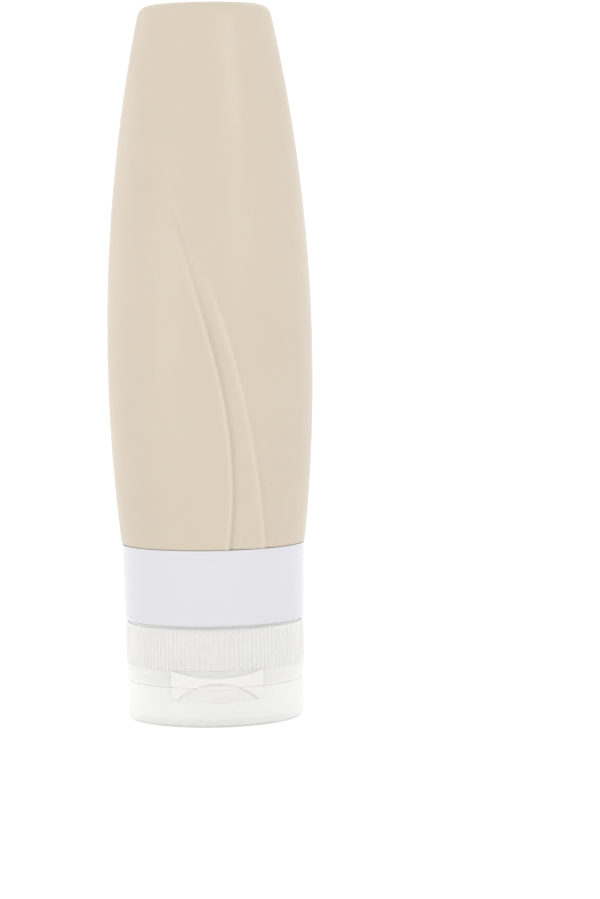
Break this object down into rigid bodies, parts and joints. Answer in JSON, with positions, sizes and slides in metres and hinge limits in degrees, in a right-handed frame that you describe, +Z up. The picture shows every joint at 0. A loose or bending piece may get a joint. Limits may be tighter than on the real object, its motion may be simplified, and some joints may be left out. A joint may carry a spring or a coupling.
{
  "type": "travel squeeze bottle",
  "caption": "Soft silicone travel squeeze bottle with a gloss collar and a ribbed, translucent screw cap whose flip lid opens on a butterfly hinge.",
  "frame": {"origin": "centre of the flip lid's flat outer face, on the surface that the bottle stands on", "axes": "+Z up the bottle's axis, from the lid to the closed base; the hinge faces -Y; +X to the right seen from the hinge's side"},
  "size_m": [0.041, 0.041, 0.142],
  "materials": {
    "silicone": "satin, soft touch",
    "collar_gloss": "gloss",
    "neck_plastic": "satin",
    "seal_rubber": "matte",
    "cap_translucent": "satin, translucent",
    "valve_silicone": "satin"
  },
  "bodies": {
    "cap": {"cap_base": "cap_translucent", "butterfly_hinge": "cap_translucent", "slit_valve": "valve_silicone", "valve_retainer": "neck_plastic", "seal_ring": "seal_rubber"},
    "lid": {"flip_lid": "cap_translucent"},
    "collar_ring": {"collar": "collar_gloss"},
    "bottle": {"squeeze_body": "silicone", "neck_insert": "neck_plastic"}
  },
  "joints": [
    {"name": "lid_hinge", "type": "hinge", "parent": "cap", "child": "lid", "pos_m": [0, -0.01785, 0.0078], "axis": [-1, 0, 0], "range_deg": [0, 175], "deforming": ["butterfly_hinge"]},
    {"name": "bottle_lift", "type": "slide", "parent": "cap", "child": "collar_ring", "axis": [0, 0, 1], "range_m": [0, 0.009]},
    {"name": "bottle_turn", "type": "hinge", "parent": "collar_ring", "child": "bottle", "pos_m": [0, 0, 0], "axis": [0, 0, 1], "range_deg": [0, 900]}
  ],
  "couplings": [
    {"joint": "bottle_lift", "follows": "bottle_turn", "m_per_rad": 0.00057295}
  ]
}
